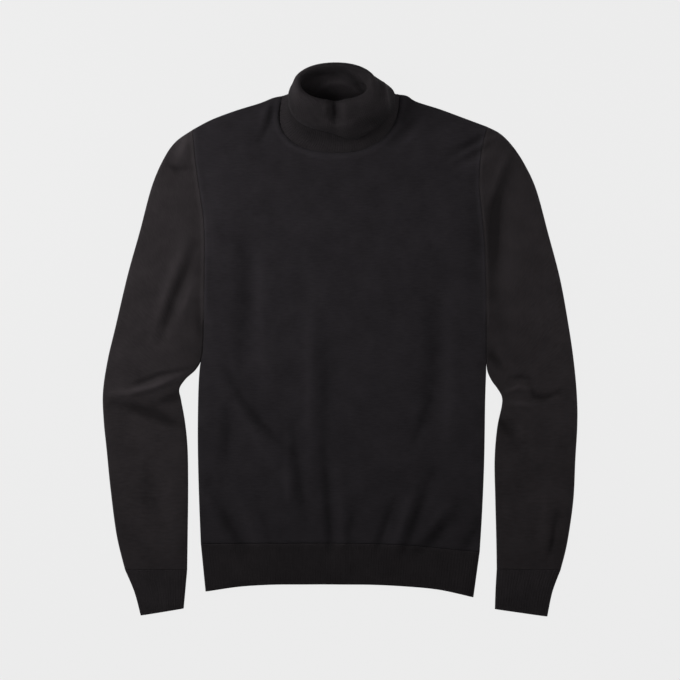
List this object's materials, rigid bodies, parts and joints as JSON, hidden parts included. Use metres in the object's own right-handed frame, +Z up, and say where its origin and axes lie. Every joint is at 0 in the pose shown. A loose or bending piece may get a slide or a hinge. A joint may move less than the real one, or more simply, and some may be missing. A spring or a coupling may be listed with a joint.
{
  "type": "turtleneck sweater laid flat",
  "caption": "Long-sleeved fine-knit sweater laid flat, with ribbed hem and cuffs and a turned-down ribbed collar that stands up from the neck.",
  "frame": {"origin": "centre of the whole garment's box, on the surface that it lies on", "axes": "+X towards the wearer's left sleeve, +Y from the hem to the collar, +Z up from the surface"},
  "size_m": [0.6636, 0.7688, 0.061],
  "materials": {
    "jersey_knit": "fine matte merino jersey, near-black with a soft sheen",
    "rib_knit": "fine matte merino rib, near-black"
  },
  "bodies": {
    "root": {"back_panel": "jersey_knit", "front_panel": "jersey_knit", "sleeve_right": "jersey_knit", "sleeve_left": "jersey_knit", "hem_rib": "rib_knit", "cuff_right": "rib_knit", "cuff_left": "rib_knit", "collar": "rib_knit"}
  },
  "joints": []
}
